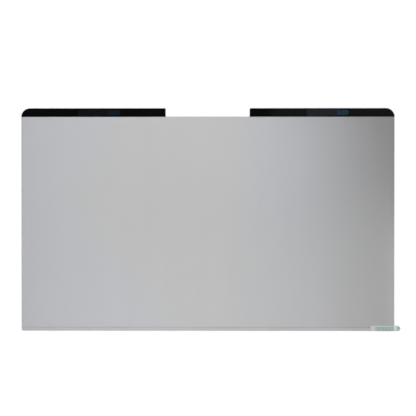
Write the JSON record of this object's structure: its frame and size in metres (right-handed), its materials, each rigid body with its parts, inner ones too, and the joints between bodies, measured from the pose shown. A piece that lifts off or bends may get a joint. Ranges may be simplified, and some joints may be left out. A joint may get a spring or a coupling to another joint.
{
  "type": "laptop privacy filter",
  "caption": "Thin grey louvre sheet for a laptop screen, held by magnetic black bands that leave a camera gap, with mounting strips behind the bands, a clear film and a peel tab.",
  "frame": {"origin": "centre of the screen area, on the back face of the louvre sheet that goes against the screen", "axes": "+X to the right of the screen, +Y to its top, +Z out of the screen towards the viewer"},
  "size_m": [0.3151, 0.185, 0.0008],
  "materials": {
    "louvre_sheet": "satin grey louvre film",
    "clear_film": "clear with a faint blue tint",
    "peel_tab": "translucent white with pale green print",
    "band_film": "smoked gloss black",
    "band_tape": "matte black",
    "magnet": "dark plated",
    "strip_plate": "black coated steel",
    "strip_adhesive": "tacky, milky",
    "strip_liner": "glossy blue release film"
  },
  "bodies": {
    "root": {"privacy_panel": "louvre_sheet", "protective_film": "clear_film", "peel_tab": "peel_tab", "left_band_film": "band_film", "left_band_tape": "band_tape", "left_magnet": "magnet", "left_strip_plate": "strip_plate", "left_strip_adhesive": "strip_adhesive", "left_strip_liner": "strip_liner", "right_band_film": "band_film", "right_band_tape": "band_tape", "right_magnet": "magnet", "right_strip_plate": "strip_plate", "right_strip_adhesive": "strip_adhesive", "right_strip_liner": "strip_liner"}
  },
  "joints": []
}
